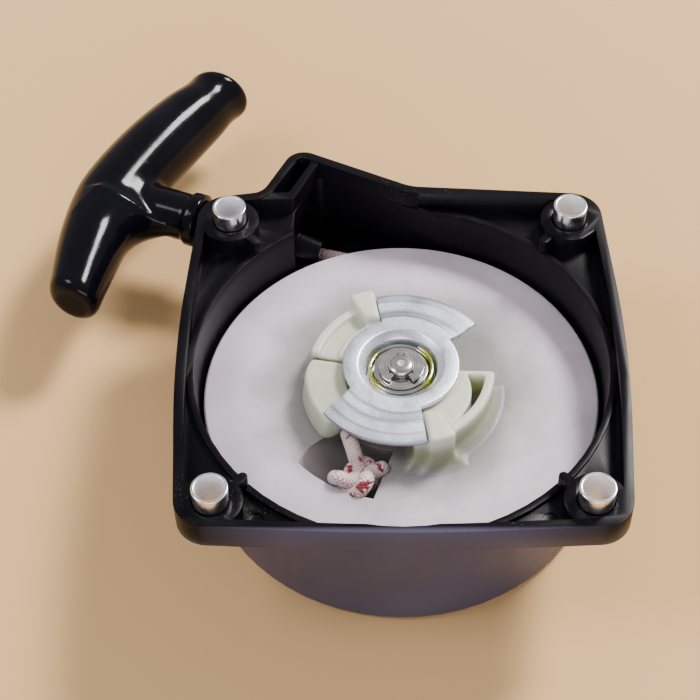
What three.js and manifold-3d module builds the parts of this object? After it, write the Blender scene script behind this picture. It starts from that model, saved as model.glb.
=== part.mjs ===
// Recoil starter for a small engine: a cup-shaped housing that holds a rope spool, its spring and one pawl.
//
// Millimetres, +Z up. The origin is on the spool's axis, at the outer face of the cup's floor. The engine
// bolts to the top, over the spacers' ends. The rope leaves the housing at the back left (-X, +Y).

import * as THREE from 'three';
import { mergeVertices } from 'three/addons/utils/BufferGeometryUtils.js';
import Module from 'manifold-3d';

const wasm = await Module();
wasm.setup();

// ---------------------------------------------------------------- driving dimensions

const HOLE_SPACING = 82; // the square of bolt holes, and so of spacers
const GAP = 0.3; // left between neighbouring pieces
const ROPE_D = 3.5;

// Heights up the axis.
const FLOOR_Z = 2.2; // inner face of the cup's floor
const SKIRT_Z = 32.2; // underside of the flange
const TRAY_Z = 34.3; // floor of the flange's tray
const LIP_Z = 35.4; // lip round the well
const RIB_Z = 39.0; // webs and ribs
const RIM_Z = 39.3; // flange rim and corner bosses
const SPACER_Z = 44.0; // spacers' ends, where the engine seats
const ROPE_Z = 20.6; // the rope's exit, and the handle's axis

// Radii from the spool's axis.
const CUP_FLOOR_R = 47.3;
const CUP_TOP_R = 49.3;
const WELL_FLOOR_R = 45.6;
const WELL_TOP_R = 47.7;
const DISC_R = 46.1; // the spool's upper flange

const SPACER_R = 4.0;
const BOLT_R = 3.25;
const RIM_WALL = 2.2;

// Vertical layers inside the cup.
const SPRING_CASE_TOP_Z = 12.7;
const SPOOL_LOWER_Z = 13.2; // underside of the lower flange
const GROOVE_FLOOR_Z = 14.7;
const GROOVE_ROOF_Z = 22.7;
const DISC_RIM_Z = 24.0;
const DISC_HUB_Z = 25.0;
const HUB_WALL_Z = 33.1;
const PLATE_Z = 34.9; // top of the guide plate's ring

// ---------------------------------------------------------------- small tools

const radians = THREE.MathUtils.degToRad;
const ROUND = 64; // sides of the largest turned shapes

// A point at a radius and an angle in degrees round the axis.
function polar(radius, degrees) {
  return new THREE.Vector2(radius * Math.cos(radians(degrees)), radius * Math.sin(radians(degrees)));
}

// A closed three.js geometry as a manifold-3d solid.
function solid(geometry) {
  const bare = geometry.clone();
  bare.deleteAttribute('normal');
  bare.deleteAttribute('uv');
  const merged = mergeVertices(bare, 1e-4);
  const vertProperties = new Float32Array(merged.attributes.position.array);
  const triVerts = new Uint32Array(merged.index.array);
  return new wasm.Manifold(new wasm.Mesh({ numProp: 3, vertProperties, triVerts }));
}

// A manifold-3d solid as a three.js geometry.
function geometryOf(manifold) {
  const { vertProperties, triVerts } = manifold.asOriginal().simplify(0.005).getMesh();
  const geometry = new THREE.BufferGeometry();
  geometry.setAttribute('position', new THREE.BufferAttribute(vertProperties, 3));
  geometry.setIndex(new THREE.BufferAttribute(triVerts, 1));
  geometry.computeVertexNormals();
  return geometry;
}

function join(...solids) {
  return solids.reduce((sum, next) => sum.add(next));
}

function cut(body, ...tools) {
  return tools.reduce((rest, tool) => rest.subtract(tool), body);
}

// A profile of [radius, height] points turned round the Z axis. It runs from the axis to the axis, or
// closes on itself, with the solid on its left.
function turned(profile, segments = 64) {
  const points = profile.map(([radius, height]) => new THREE.Vector2(radius, height));
  const geometry = new THREE.LatheGeometry(points, segments);
  geometry.rotateX(Math.PI / 2);
  return solid(geometry);
}

function disc(radius, low, high, segments = 48) {
  return turned([[0, low], [radius, low], [radius, high], [0, high]], segments);
}

function ring(inner, outer, low, high, segments = 48) {
  return turned([[inner, low], [outer, low], [outer, high], [inner, high], [inner, low]], segments);
}

// A flat outline stood up between two heights.
function prism(shape, low, high, curveSegments = 8) {
  const options = { depth: high - low, bevelEnabled: false, curveSegments };
  return solid(new THREE.ExtrudeGeometry(shape, options).translate(0, 0, low));
}

function polygon(points, low, high) {
  return prism(new THREE.Shape(points.map(([x, y]) => new THREE.Vector2(x, y))), low, high);
}

// Part of a ring, from one angle to another in degrees, anticlockwise.
function sector(inner, outer, from, to, low, high, curveSegments = 10) {
  const shape = new THREE.Shape();
  shape.absarc(0, 0, outer, radians(from), radians(to), false);
  shape.absarc(0, 0, inner, radians(to), radians(from), true);
  shape.closePath();
  return prism(shape, low, high, curveSegments);
}

// A round rod between two points, or a cone when its end radii differ.
function rod(from, to, startRadius, endRadius = startRadius, segments = 24) {
  const along = new THREE.Vector3().subVectors(to, from);
  const geometry = new THREE.CylinderGeometry(endRadius, startRadius, along.length(), segments);
  geometry.translate(0, along.length() / 2, 0);
  const turn = new THREE.Quaternion().setFromUnitVectors(new THREE.Vector3(0, 1, 0), along.normalize());
  geometry.applyQuaternion(turn);
  geometry.translate(from.x, from.y, from.z);
  return solid(geometry);
}

// A constant round section swept along a curve.
function swept(curve, radius, steps, sides = 8) {
  const section = new THREE.Shape();
  for (let i = 0; i < sides; i++) {
    const corner = polar(radius, (360 * i) / sides);
    if (i === 0) section.moveTo(corner.x, corner.y);
    else section.lineTo(corner.x, corner.y);
  }
  section.closePath();
  return solid(new THREE.ExtrudeGeometry(section, { steps, extrudePath: curve, bevelEnabled: false }));
}

// A polygon whose corners are rounded, anticlockwise, moved inward by inset. Each corner is [x, y, radius];
// a corner that turns the other way is a hollow one, and its radius grows with the inset.
function roundedPolygon(corners, inset = 0) {
  const count = corners.length;
  const at = (i) => new THREE.Vector2(corners[(i + count) % count][0], corners[(i + count) % count][1]);
  const moved = corners.map((corner, i) => {
    const before = at(i).sub(at(i - 1)).normalize();
    const after = at(i + 1).sub(at(i)).normalize();
    const turn = before.cross(after);
    const shift = after.clone().sub(before).multiplyScalar(inset / turn);
    return { point: at(i).add(shift), before, after, turn, radius: corner[2] - inset * Math.sign(turn) };
  });
  const shape = new THREE.Shape();
  for (const { point, before, after, turn, radius } of moved) {
    const reach = Math.abs(radius * Math.tan(Math.asin(THREE.MathUtils.clamp(turn, -1, 1)) / 2));
    const start = point.clone().addScaledVector(before, -reach);
    const side = Math.sign(turn);
    const centre = new THREE.Vector2(-before.y, before.x).multiplyScalar(side * radius).add(start);
    const end = point.clone().addScaledVector(after, reach);
    const startAngle = start.clone().sub(centre).angle();
    const endAngle = end.clone().sub(centre).angle();
    shape.absarc(centre.x, centre.y, radius, startAngle, endAngle, side < 0);
  }
  shape.closePath();
  return shape;
}

const parts = new THREE.Group();

function addPart(name, shape, material) {
  const mesh = new THREE.Mesh(geometryOf(shape), material);
  mesh.name = name;
  parts.add(mesh);
}

// ---------------------------------------------------------------- materials

const blackPlastic = new THREE.MeshStandardMaterial({ color: 0x17161a, roughness: 0.5, metalness: 0 });
const glossBlackPlastic = new THREE.MeshStandardMaterial({ color: 0x08080b, roughness: 0.15, metalness: 0 });
const whiteNylon = new THREE.MeshStandardMaterial({ color: 0xd9d6cf, roughness: 0.5, metalness: 0 });
const pawlNylon = new THREE.MeshStandardMaterial({ color: 0xdcdccd, roughness: 0.45, metalness: 0 });
const spacerMetal = new THREE.MeshStandardMaterial({ color: 0xe4e5e8, roughness: 0.15, metalness: 1 });
const zincPlate = new THREE.MeshStandardMaterial({ color: 0xc6cbdc, roughness: 0.35, metalness: 1 });
const springWire = new THREE.MeshStandardMaterial({ color: 0xb9b08a, roughness: 0.3, metalness: 1 });
const springSteel = new THREE.MeshStandardMaterial({ color: 0x50555e, roughness: 0.35, metalness: 1 });
const brightSteel = new THREE.MeshStandardMaterial({ color: 0xc9cace, roughness: 0.2, metalness: 1 });
const caseSteel = new THREE.MeshStandardMaterial({ color: 0xa9adb3, roughness: 0.4, metalness: 1 });
const rope = new THREE.MeshStandardMaterial({ color: 0xe8cfca, roughness: 0.85, metalness: 0 });

// ---------------------------------------------------------------- rope route

// The rope leaves the spool at a tangent, passes the guide in the tower and the outlet duct, and turns a
// little where it enters the handle, whose axis is also the line that it is pulled along.
const COIL_OUTER_R = 42.8;
const GUIDE = new THREE.Vector3(-19.4, 48.2, 18.8);
const OUTLET = new THREE.Vector3(-49.6, 58.1, ROPE_Z);
const PULL_ANGLE = 159.3; // degrees, the handle's axis in plan
const PULL = new THREE.Vector3(Math.cos(radians(PULL_ANGLE)), Math.sin(radians(PULL_ANGLE)), 0);

function tangentPoint() {
  const reach = Math.hypot(GUIDE.x, GUIDE.y);
  const angle = Math.atan2(GUIDE.y, GUIDE.x) - Math.acos(COIL_OUTER_R / reach);
  return new THREE.Vector3(COIL_OUTER_R * Math.cos(angle), COIL_OUTER_R * Math.sin(angle), GUIDE.z);
}

const TANGENT = tangentPoint();
const DUCT_LINE = new THREE.Vector3().subVectors(OUTLET, GUIDE).normalize();

function along(start, direction, distance) {
  return start.clone().addScaledVector(direction, distance);
}

// ---------------------------------------------------------------- housing

// Corners of the flange's outline. The long sides bow outward through a wide blend at their middles.
const FLANGE_CORNERS = [
  [-48.7, -47.5, 7.3],
  [0, -49.7, 400],
  [48.7, -47.5, 7.3],
  [52, 0, 300],
  [48.5, 49.3, 7.6],
  [2.9, 52.3, 12],
  [-25.95, 66, 4.8],
  [-33.6, 50.6, 4.5],
  [-48.6, 48.4, 7.6],
  [-51.9, 0, 300],
];

// The rope tower below the flange. Its last corners lie inside the cup.
const TOWER_CORNERS = [
  [-28, 33, 2],
  [18, 33, 2],
  [17, 47.2, 2],
  [2.9, 52.3, 12],
  [-25.95, 66, 4.8],
  [-33.6, 50.6, 3],
  [-32, 38.5, 3],
];
const TOWER_FLOOR_Z = 12.5;

// The rope chamber, which opens into the well, and the blind pocket beside it.
const CHAMBER_CORNERS = [
  [-25.8, 36, 1],
  [10, 36, 1],
  [14, 44.4, 1],
  [-20.1, 60.8, 1.6],
  [-25.9, 48.5, 8],
];
const POCKET_CORNERS = [
  [-31.2, 50.7, 0.8],
  [-27.1, 50.7, 0.8],
  [-21.7, 61.4, 0.9],
  [-24.9, 62.8, 1.2],
];
const TOWER_TOP_CORNERS = [
  [-34.4, 48.4, 0.6],
  [-26, 48.4, 0.6],
  [-20, 60.9, 0.6],
  [-24, 64, 0.6],
  [-32, 60, 0.6],
];

const BOSS_R = 6.9;
const WEB_WIDTH = 2.2;
const WEB_END_R = 48.9; // from the spool's axis
const SPACER_SEAT_Z = 33.8;
const EJECTOR_MARK_R = 1.7;
const POST_BOSS_R = 9;
const POST_R = 5;
const POST_SEAT_Z = 2.5;
const DUCT_R = 5.8;
const ROPE_BORE_R = 2.9;

function cornerPoints() {
  const half = HOLE_SPACING / 2;
  return [[-half, -half], [half, -half], [half, half], [-half, half]];
}

function cupSolid() {
  const fillet = 2;
  const profile = [[0, 0]];
  for (let i = 0; i <= 4; i++) {
    const corner = polar(fillet, -90 + (90 * i) / 4);
    profile.push([CUP_FLOOR_R - fillet + corner.x, fillet + corner.y]);
  }
  profile.push([CUP_TOP_R, TRAY_Z], [0, TRAY_Z]);
  return turned(profile, ROUND);
}

function wellCut() {
  const corner = [[WELL_FLOOR_R - 1, FLOOR_Z], [WELL_FLOOR_R, FLOOR_Z + 1]];
  const bore = [[0, FLOOR_Z], ...corner, [WELL_TOP_R, SKIRT_Z]];
  return turned([...bore, [WELL_TOP_R, SPACER_Z], [0, SPACER_Z]], ROUND);
}

// The raised things that stand on the tray's floor: bosses, webs, the lip and the tower's top.
function trayFurniture() {
  const lip = ring(WELL_TOP_R - 1, WELL_TOP_R + 1.5, TRAY_Z - 1, LIP_Z, ROUND);
  const pieces = [lip, prism(roundedPolygon(TOWER_TOP_CORNERS), TRAY_Z - 1, RIB_Z)];
  for (const [x, y] of cornerPoints()) {
    const outward = new THREE.Vector2(x, y).normalize();
    const across = new THREE.Vector2(-outward.y, outward.x).multiplyScalar(WEB_WIDTH / 2);
    const start = outward.clone().multiplyScalar(WEB_END_R);
    const corners = [start.clone().add(across), start.clone().sub(across)];
    const far = new THREE.Vector2(x, y);
    corners.push(far.clone().sub(across), far.clone().add(across));
    pieces.push(disc(BOSS_R, TRAY_Z - 1, RIM_Z, 32).translate([x, y, 0]));
    pieces.push(disc(WEB_WIDTH / 2, TRAY_Z - 1, RIB_Z, 16).translate([start.x, start.y, 0]));
    pieces.push(polygon(corners.map((corner) => [corner.x, corner.y]), TRAY_Z - 1, RIB_Z));
  }
  return join(...pieces);
}

// The duct's outside, and the boss on which it opens in the chamber.
function outletDuct() {
  const chamberWall = along(GUIDE, DUCT_LINE, 6);
  const boss = rod(GUIDE, along(GUIDE, DUCT_LINE, 8), DUCT_R - 0.8);
  return join(rod(chamberWall, OUTLET, DUCT_R, DUCT_R, 32), boss);
}

function ropeBore() {
  const flare = 2.2;
  const inner = along(GUIDE, DUCT_LINE, -1);
  const outer = along(OUTLET, DUCT_LINE, 1);
  const trumpet = rod(inner, along(GUIDE, DUCT_LINE, flare), ROPE_BORE_R + 1.3 * flare, ROPE_BORE_R);
  return join(rod(inner, outer, ROPE_BORE_R), trumpet);
}

function makeHousing() {
  const flange = prism(roundedPolygon(FLANGE_CORNERS), SKIRT_Z, RIM_Z, 5);
  const tray = cut(prism(roundedPolygon(FLANGE_CORNERS, RIM_WALL), TRAY_Z, SPACER_Z, 5), trayFurniture());
  const tower = prism(roundedPolygon(TOWER_CORNERS), TOWER_FLOOR_Z, SKIRT_Z + 1);
  const chamber = prism(roundedPolygon(CHAMBER_CORNERS), TOWER_FLOOR_Z + 2, SPACER_Z);
  const pocket = prism(roundedPolygon(POCKET_CORNERS), ROPE_Z + DUCT_R + 1, SPACER_Z);
  const postBoss = disc(POST_BOSS_R, FLOOR_Z - 1, FLOOR_Z + 1.4);

  let housing = cut(join(cupSolid(), flange, tower), tray, wellCut(), chamber, pocket);
  housing = join(housing, outletDuct(), postBoss);
  housing = cut(housing, ropeBore(), disc(POST_R + GAP, POST_SEAT_Z, SPACER_Z));
  for (const [x, y] of cornerPoints()) {
    const bolt = disc(BOLT_R, 0, SPACER_Z, 24).translate([x, y, 0]);
    const seat = disc(SPACER_R + GAP, SPACER_SEAT_Z, SPACER_Z, 24).translate([x, y, 0]);
    housing = cut(housing, bolt, seat);
  }
  for (const side of [-1, 1]) {
    const mark = disc(EJECTOR_MARK_R, TRAY_Z - 0.3, TRAY_Z + 0.3, 20);
    housing = cut(housing, mark.translate([side * 31.5, -42.6, 0]));
  }
  return housing;
}

// ---------------------------------------------------------------- spacers and centre post

function makeSpacer(x, y) {
  return ring(BOLT_R, SPACER_R, SPACER_SEAT_Z + GAP, SPACER_Z, 24).translate([x, y, 0]);
}

const POST_SHOULDER_Z = 32.0; // the washer sits above this shoulder
const POST_NECK_R = 3.0;
const CLIP_GROOVE_R = 2.3;
const CLIP_Z = 33.4;
const CLIP_THICK = 0.6;

function makeCentrePost() {
  const chamfer = 0.8;
  const foot = POST_SEAT_Z + GAP;
  return turned(
    [
      [0, foot],
      [POST_R, foot],
      [POST_R, POST_SHOULDER_Z],
      [POST_NECK_R, POST_SHOULDER_Z],
      [POST_NECK_R, CLIP_Z - GAP],
      [CLIP_GROOVE_R, CLIP_Z - GAP],
      [CLIP_GROOVE_R, CLIP_Z + CLIP_THICK + GAP],
      [POST_NECK_R, CLIP_Z + CLIP_THICK + GAP],
      [POST_NECK_R, PLATE_Z - chamfer / 2],
      [POST_NECK_R - chamfer, PLATE_Z],
      [0, PLATE_Z],
    ],
    36,
  );
}

function makeThrustWasher() {
  return ring(POST_NECK_R + GAP, 6.2, POST_SHOULDER_Z + GAP, POST_SHOULDER_Z + GAP + 0.6, 40);
}

// An E-clip: an open ring with three prongs that grip the post's groove. Its gap faces the front.
function makeEClip() {
  const top = CLIP_Z + CLIP_THICK;
  const body = sector(3.6, 5.2, -58, 238, CLIP_Z, top, 14);
  const prongs = [-50, 90, 230].map((middle) => {
    return sector(CLIP_GROOVE_R + 0.25, 4, middle - 9, middle + 9, CLIP_Z, top, 3);
  });
  return join(body, ...prongs);
}

// ---------------------------------------------------------------- recoil spring and its case

const CASE_R = 40.8;
const CASE_THICK = 0.6;
const CASE_FLOOR_Z = FLOOR_Z + GAP;
const STRIP_LOW_Z = 3.9;
const STRIP_HIGH_Z = 12;
const STRIP_THICK = 0.6;
const SPRING_TURNS = 7.5;
const ARBOR_R = 8;

function makeSpringCase() {
  const inner = CASE_R - CASE_THICK;
  const hole = POST_BOSS_R + GAP;
  const top = SPRING_CASE_TOP_Z;
  return turned(
    [
      [hole, CASE_FLOOR_Z],
      [CASE_R, CASE_FLOOR_Z],
      [CASE_R, top],
      [inner, top],
      [inner, CASE_FLOOR_Z + CASE_THICK],
      [hole, CASE_FLOOR_Z + CASE_THICK],
      [hole, CASE_FLOOR_Z],
    ],
    72,
  );
}

// Distance of the strip's middle line from the axis, as it winds outward: wide steps round the arbor,
// then turns that lie close together against the case.
function stripRadius(share) {
  const first = ARBOR_R + 1.2;
  const last = CASE_R - CASE_THICK - 0.8;
  const closeTurns = SPRING_TURNS * (STRIP_THICK + 0.35);
  return first + closeTurns * share + (last - first - closeTurns) * (1 - (1 - share) ** 3);
}

function makeRecoilSpring() {
  const steps = 250;
  const inner = [];
  const outer = [];
  for (let i = 0; i <= steps; i++) {
    const share = i / steps;
    const degrees = 360 * SPRING_TURNS * share;
    const radius = stripRadius(share);
    inner.push(polar(radius - STRIP_THICK / 2, degrees));
    outer.push(polar(radius + STRIP_THICK / 2, degrees));
  }
  return prism(new THREE.Shape([...outer, ...inner.reverse()]), STRIP_LOW_Z, STRIP_HIGH_Z);
}

// ---------------------------------------------------------------- spool

const BORE_R = POST_R + GAP;
const CORE_R = 33;
const HUB_R = 21.6;
const HUB_BOSS_R = 12.6;
const POCKET_INNER_R = 15; // from here to the walls' inner face
const HUB_WALL = 2.2;
const STOP_BLOCK = [[5.05, -13.9], [6.3, -22.3], [9.1, -22], [12.2, -20.6], [11.2, -18.3], [8.4, -13.9]];
const STOP_BLOCK_Z = 35.2; // the guide plate's wing rests against this block
const UNDER_WING_Z = 31.9; // tops of the hub's parts that a wing may pass over
const PAWL_PIVOT = new THREE.Vector2(-18.1, 6);
const PAWL_BARREL_R = 1.5;
const PAWL_ARM = 0.9; // half the arm's width
const CUPPED_R = 9.6; // recess that holds the plate's dished middle
const CUPPED_Z = 28.3;
const RIM_CHAMFER = 0.4;

function spoolBody() {
  const lowerR = 45.2;
  return turned(
    [
      [BORE_R, 4],
      [ARBOR_R, 4],
      [ARBOR_R, SPOOL_LOWER_Z],
      [lowerR, SPOOL_LOWER_Z],
      [lowerR, GROOVE_FLOOR_Z - RIM_CHAMFER],
      [CORE_R, GROOVE_FLOOR_Z],
      [CORE_R, GROOVE_ROOF_Z],
      [DISC_R, GROOVE_ROOF_Z],
      [DISC_R, DISC_RIM_Z - RIM_CHAMFER],
      [DISC_R - RIM_CHAMFER, DISC_RIM_Z],
      [HUB_R + 1.5, DISC_HUB_Z],
      [BORE_R, DISC_HUB_Z],
      [BORE_R, 4],
    ],
    ROUND,
  );
}

// One side of the hub: a curved wall, a block that stops the guide plate, and a low end beyond the block.
function hubSide(turn, wallEnd) {
  const wall = sector(HUB_BOSS_R - 1, HUB_R, -70, wallEnd, DISC_HUB_Z - 1, HUB_WALL_Z);
  const lowEnd = sector(HUB_BOSS_R - 1, HUB_R, -83, -69, DISC_HUB_Z - 1, UNDER_WING_Z, 3);
  const side = join(wall, lowEnd, polygon(STOP_BLOCK, DISC_HUB_Z - 1, STOP_BLOCK_Z));
  return side.rotate([0, 0, turn]);
}

// The empty pocket is the crescent between the wall's inner face and a circle that touches it.
function emptyPocket() {
  const touchAngle = -57;
  const endAngle = -6;
  const innerR = 11.95;
  const wallInnerR = HUB_R - HUB_WALL;
  const centre = polar(wallInnerR - innerR, touchAngle);
  return cut(
    sector(POCKET_INNER_R, wallInnerR, touchAngle, endAngle, DISC_HUB_Z, STOP_BLOCK_Z + 1),
    disc(innerR, DISC_HUB_Z - 1, STOP_BLOCK_Z + 2).translate([centre.x, centre.y, 0]),
  );
}

// The other side is filled up to a shallow floor, with a hole for the pawl's barrel and a slot for its arm.
function pawlSeat() {
  const { x, y } = PAWL_PIVOT;
  const reach = PAWL_ARM + GAP;
  const top = STOP_BLOCK_Z + 1;
  const shallow = sector(POCKET_INNER_R, HUB_R - HUB_WALL, 122, 170, UNDER_WING_Z, top);
  const hole = disc(PAWL_BARREL_R + GAP, DISC_HUB_Z, top, 24).translate([x, y, 0]);
  const slot = [[x + reach, y], [x + reach, y - 3], [x - reach - 0.7, y - 3], [x - reach, y]];
  return join(shallow, hole, polygon(slot, DISC_HUB_Z, top));
}

// The knot's window: a deep opening through the disc, with a ramp at its left end. The rope reaches it
// through a slanting hole in the core's wall.
const WINDOW_FLOOR_Z = 17;
const WINDOW_OUTER_R = 31.3;
const WINDOW_INNER_R = 17.7;
const RAMP_FOOT = 235; // degrees round the axis
const WINDOW_LEFT = 218;
const WINDOW_RIGHT = 258.3;

function knotWindow() {
  const top = DISC_HUB_Z + 1;
  const opening = new THREE.Shape();
  opening.absarc(0, 0, WINDOW_OUTER_R, radians(WINDOW_LEFT), radians(WINDOW_RIGHT), false);
  opening.absarc(0, 0, WINDOW_INNER_R, radians(WINDOW_RIGHT + 6), radians(WINDOW_LEFT), true);
  opening.closePath();
  const profile = [[0, WINDOW_FLOOR_Z], [9, WINDOW_FLOOR_Z], [9, top]];
  const ramp = polygon(profile, -WINDOW_OUTER_R - 1, -WINDOW_INNER_R + 3);
  const laid = ramp.rotate([90, 0, 0]).rotate([0, 0, RAMP_FOOT - 90]);
  return cut(prism(opening, WINDOW_FLOOR_Z, top), laid);
}

// The underside is hollowed between ribs, apart from the part under the knot's window.
function underside() {
  const hollows = [];
  const inner = ARBOR_R + 3.5;
  const outer = CORE_R - 2.2;
  const first = RAMP_FOOT + 36;
  const share = 50;
  const halfRib = 2;
  for (let from = first; from < first + 6 * share; from += share) {
    const to = from + share - halfRib;
    hollows.push(sector(inner, outer, from + halfRib, to, SPOOL_LOWER_Z - 1, GROOVE_ROOF_Z, 4));
  }
  return join(...hollows);
}

function makeSpool() {
  const boss = disc(HUB_BOSS_R, DISC_HUB_Z - 1, HUB_WALL_Z);
  let spool = join(spoolBody(), boss, hubSide(0, -2), hubSide(180, -13.5));
  const ropeHole = swept(new WoundRope(-1.15 * LEAD_IN, 0.02), ROPE_D / 2 + 2 * GAP, 8);
  spool = cut(spool, emptyPocket(), pawlSeat(), knotWindow(), underside(), ropeHole);
  const tube = ring(BORE_R, 6.2, CUPPED_Z - 1, POST_SHOULDER_Z - GAP, 40);
  spool = cut(spool, disc(CUPPED_R, CUPPED_Z, SPACER_Z), disc(BORE_R, 0, SPACER_Z));
  return join(spool, tube);
}

// ---------------------------------------------------------------- pawl

const PAWL_HEAD_INNER_R = 13;
const PAWL_HEAD_OUTER_R = 22.1;
const PAWL_LOW_Z = DISC_HUB_Z + GAP;

function makePawl() {
  const { x, y } = PAWL_PIVOT;
  const shoulder = 3.3;
  const head = new THREE.Shape();
  head.moveTo(-20.7, 4);
  head.lineTo(-22, 1.8);
  head.absarc(0, 0, PAWL_HEAD_OUTER_R, radians(176), radians(221), false);
  head.absarc(0, 0, PAWL_HEAD_INNER_R, radians(229), radians(168.5), true);
  head.closePath();
  const arm = [[x - PAWL_ARM, shoulder], [x + PAWL_ARM, shoulder], [x + PAWL_ARM, y], [x - PAWL_ARM, y]];
  const barrel = disc(PAWL_BARREL_R, PAWL_LOW_Z, UNDER_WING_Z, 20).translate([x, y, 0]);
  return join(prism(head, PAWL_LOW_Z, UNDER_WING_Z, 10), polygon(arm, PAWL_LOW_Z, UNDER_WING_Z), barrel);
}

// ---------------------------------------------------------------- guide plate and friction spring

const PLATE_THICK = 1.2;
const PLATE_RING_R = 13.4;
const WING_R = 21.9;

function makeGuidePlate() {
  const under = PLATE_Z - PLATE_THICK;
  const dishFloor = CUPPED_Z + GAP;
  const dished = turned(
    [
      [6.7, dishFloor],
      [8.9, dishFloor],
      [9, dishFloor + 1],
      [9, under - 0.6],
      [9.8, under],
      [PLATE_RING_R, under],
      [PLATE_RING_R, PLATE_Z],
      [10, PLATE_Z],
      [8.3, PLATE_Z - 1.5],
      [8.1, dishFloor + 0.8],
      [6.7, dishFloor + 0.8],
      [6.7, dishFloor],
    ],
    56,
  );
  const stepped = turned(
    [
      [PLATE_RING_R - 1, under],
      [14, under],
      [16.5, under - 0.9],
      [19.5, under - 0.9],
      [WING_R, under - 1.3],
      [WING_R, PLATE_Z - 1.3],
      [19.5, PLATE_Z - 0.9],
      [16.5, PLATE_Z - 0.9],
      [14, PLATE_Z],
      [PLATE_RING_R - 1, PLATE_Z],
      [PLATE_RING_R - 1, under],
    ],
    56,
  );
  const wing = [[9.5, 5.3], [20.8, 15.9], [8, 32], [-6.2, 24.5], [-3.9, 10.1]];
  const outline = polygon(wing, CUPPED_Z, SPACER_Z);
  const wings = stepped.intersect(join(outline, outline.rotate([0, 0, 180])));
  return join(dished, wings);
}

// A close coil with a straight end across the clip's open side.
class FrictionCoil extends THREE.Curve {
  getPoint(share, target = new THREE.Vector3()) {
    const turns = 2.6;
    const angle = radians(200 + 360 * turns * share);
    const radius = 7.15;
    const low = 30.3;
    const pitch = 1.15;
    return target.set(radius * Math.cos(angle), radius * Math.sin(angle), low + pitch * turns * share);
  }
}

function makeFrictionSpring() {
  return swept(new FrictionCoil(), 0.45, 60, 6);
}

// ---------------------------------------------------------------- rope

const COIL_TURNS = 2.551;
const LANE = ROPE_D + GAP; // from one turn's middle to its neighbour's
const LAST_DROP = (ROPE_Z - GUIDE.z) / LANE; // the last layer slants down to the guide
const STEP_OUT = 0.1; // share of a turn in which the rope climbs to the next layer
const LEAD_IN = 0.042; // share of a turn in the hole through the core
const LEAD_DEPTH = 13.5;

// The hole through the core, then three layers: down, up, and part of a turn at the top that ends where
// the rope leaves the spool. Turns are counted from the core's outer end of the hole.
class WoundRope extends THREE.Curve {
  constructor(from, to) {
    super();
    this.from = from;
    this.to = to;
  }

  getPoint(share, target = new THREE.Vector3()) {
    const turn = THREE.MathUtils.lerp(this.from, this.to, share);
    const layerLength = 1 + STEP_OUT;
    const layer = THREE.MathUtils.clamp(Math.floor(turn / layerLength), 0, 2);
    const inLayer = turn - layer * layerLength;
    const climb = layer < 2 ? THREE.MathUtils.smoothstep(inLayer, 1, layerLength) : 0;
    const leadDepth = LEAD_DEPTH * (Math.min(turn, 0) / LEAD_IN) ** 2;
    const radius = CORE_R + 1.5 * GAP + ROPE_D / 2 + LANE * (layer + climb) - leadDepth;
    const depth = THREE.MathUtils.clamp(inLayer, 0, 1);
    const lastShare = inLayer / (COIL_TURNS - 2 * layerLength);
    const drop = [depth, 1 - depth, LAST_DROP * lastShare][layer];
    const angle = Math.atan2(TANGENT.y, TANGENT.x) - 2 * Math.PI * (COIL_TURNS - turn);
    return target.set(radius * Math.cos(angle), radius * Math.sin(angle), ROPE_Z - LANE * drop);
  }
}

function makeRopeCoil() {
  return swept(new WoundRope(-LEAD_IN, COIL_TURNS), ROPE_D / 2, 120, 6);
}

function makeRopeRun() {
  const leaving = new THREE.Vector3().subVectors(GUIDE, TANGENT).normalize();
  const route = [along(TANGENT, leaving, GAP), GUIDE, OUTLET, along(OUTLET, PULL, GRIP_X - 4)];
  return swept(new THREE.CatmullRomCurve3(route, false, 'centripetal'), ROPE_D / 2, 30);
}

const KNOT = new THREE.Vector3(-11, -23.2, 24);

// An overhand knot kept as one lump, with the strand that leads under the guide plate's wing.
function makeSpoolKnot() {
  const lump = new THREE.SphereGeometry(1, 20, 12).scale(5.2, 5, 4.4).translate(KNOT.x, KNOT.y, KNOT.z);
  const strand = [KNOT, new THREE.Vector3(-12.3, -18.8, 26), new THREE.Vector3(-13.6, -16.4, 23.6)];
  return join(solid(lump), swept(new THREE.CatmullRomCurve3(strand), ROPE_D / 2, 8));
}

// ---------------------------------------------------------------- handle

// The handle is built along its own axes and then laid in place: X runs out along the pull, Y along the
// grip toward the front, and Z up. Its origin is the end of the neck.
const GRIP_X = 25; // middle of the grip from the neck's end
const GRIP_MIDDLE = 1.9; // where the bow is furthest out
// Reach along the grip from its middle, and the grip's radius there. It has a waist near the back end.
const GRIP_SWELL = [[-48.5, 8.6], [-43, 8.1], [-35, 9.1], [-20, 9.8], [0, 9.7], [15, 8.8], [28, 7.4], [35, 6.6]];
const GRIP_END_ROUND = 2.5;
const GRIP_BEND = 10.5; // bend back toward the housing at a reach of 50
const NECK_R = 6.2;
const NECK_BEAD = 3.6;
const AXIS = new THREE.Vector3(1, 0, 0);
const HANDLE_GAP = 0.6; // between the duct and the neck

// The knot's pocket opens on the underside of the grip. The retainer stands against its neck side.
const POCKET_START = GRIP_X - 5;
const POCKET_END = GRIP_X + 5.9;
const POCKET_HALF = 4.9;
const HANDLE_BORE_R = ROPE_D / 2 + 0.5;
const RETAINER_THICK = 1.2;

// From the bar's side, round the edge and along the flat end to the axis.
function gripEnd(end, outward) {
  const points = [];
  for (let i = 0; i <= 4; i++) {
    const corner = polar(GRIP_END_ROUND, (90 * i) / 4);
    const reach = end.y + outward * (corner.y - GRIP_END_ROUND);
    points.push(new THREE.Vector2(end.x - GRIP_END_ROUND + corner.x, reach));
  }
  return [...points, new THREE.Vector2(0, end.y)];
}

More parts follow.
